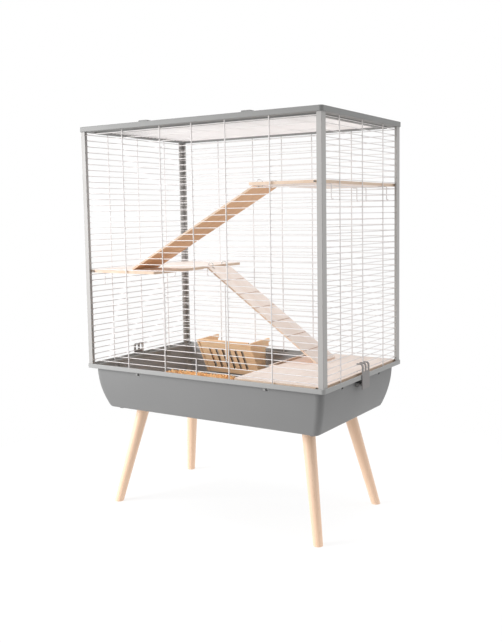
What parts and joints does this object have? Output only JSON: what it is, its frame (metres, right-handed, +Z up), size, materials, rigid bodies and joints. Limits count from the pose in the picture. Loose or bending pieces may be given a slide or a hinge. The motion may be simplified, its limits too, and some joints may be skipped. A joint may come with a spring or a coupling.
{
  "type": "rodent cage",
  "caption": "Tall wire rodent cage on splayed wooden legs, with a grey plastic tub, wooden boards, ramps and a hay rack; its door, roof lid, latch clips and ramps move.",
  "frame": {"origin": "on the floor, under the middle of the cage", "axes": "+X to the right and +Y to the back, seen from the door's side; +Z up"},
  "size_m": [0.7806, 0.475, 1.0992],
  "materials": {
    "tub_grey": "fine satin grain",
    "frame_grey": "satin",
    "wire_white": "white powder coat",
    "bare_steel": "plain",
    "warm_wood": "clear satin lacquer",
    "pale_wood": "bare, sanded",
    "shavings": "rough shavings"
  },
  "bodies": {
    "cage": {"tub": "tub_grey", "lower_frame": "frame_grey", "upper_frame": "frame_grey", "post_front_left": "frame_grey", "post_front_right": "frame_grey", "post_back_left": "frame_grey", "post_back_right": "frame_grey", "leg_front_left": "warm_wood", "leg_front_right": "warm_wood", "leg_back_left": "warm_wood", "leg_back_right": "warm_wood", "leg_studs": "bare_steel", "lid_hinge_pins": "bare_steel", "clip_pins": "bare_steel", "board_pins": "bare_steel", "front_grille": "wire_white", "back_grille": "wire_white", "left_grille": "wire_white", "right_grille": "wire_white", "board_brackets": "wire_white", "upper_ramp_hanger": "bare_steel", "lower_ramp_hanger": "bare_steel", "middle_board": "pale_wood", "upper_board": "pale_wood", "lower_board": "pale_wood", "bedding": "shavings"},
    "front_door": {"front_door": "wire_white", "door_hinge_loops": "wire_white"},
    "roof_lid": {"lid_front_rail": "frame_grey", "lid_back_rail": "frame_grey", "lid_left_rail": "frame_grey", "lid_right_rail": "frame_grey", "lid_catches": "frame_grey", "roof_grille": "wire_white"},
    "left_clip": {"left_clip": "frame_grey"},
    "right_clip": {"right_clip": "frame_grey"},
    "upper_ramp": {"upper_ramp": "pale_wood"},
    "lower_ramp": {"lower_ramp": "pale_wood"},
    "hay_rack": {"rack_front": "warm_wood", "rack_left_side": "warm_wood", "rack_right_side": "warm_wood", "rack_base": "warm_wood"}
  },
  "joints": [
    {"name": "door_swing", "type": "hinge", "parent": "cage", "child": "front_door", "pos_m": [-0.105, -0.228, 0.56], "axis": [0, 0, -1], "range_deg": [0, 120]},
    {"name": "lid_lift", "type": "hinge", "parent": "cage", "child": "roof_lid", "pos_m": [0, 0.2135, 1.096], "axis": [-1, 0, 0], "range_deg": [0, 100]},
    {"name": "left_clip_swing", "type": "hinge", "parent": "cage", "child": "left_clip", "pos_m": [-0.3767, -0.007, 0.392], "axis": [0, -1, 0], "range_deg": [0, 60]},
    {"name": "right_clip_swing", "type": "hinge", "parent": "cage", "child": "right_clip", "pos_m": [0.3767, -0.007, 0.392], "axis": [0, 1, 0], "range_deg": [0, 60]},
    {"name": "upper_ramp_lift", "type": "hinge", "parent": "cage", "child": "upper_ramp", "pos_m": [0.1632, -0.136, 0.911], "axis": [0, 1, 0], "range_deg": [0, 25]},
    {"name": "lower_ramp_lift", "type": "hinge", "parent": "cage", "child": "lower_ramp", "pos_m": [-0.1472, 0.098, 0.68], "axis": [0, -1, 0], "range_deg": [0, 30]},
    {"name": "hay_rack_lift", "type": "slide", "parent": "cage", "child": "hay_rack", "axis": [0, 0, 1], "range_m": [0, 0.007]}
  ]
}
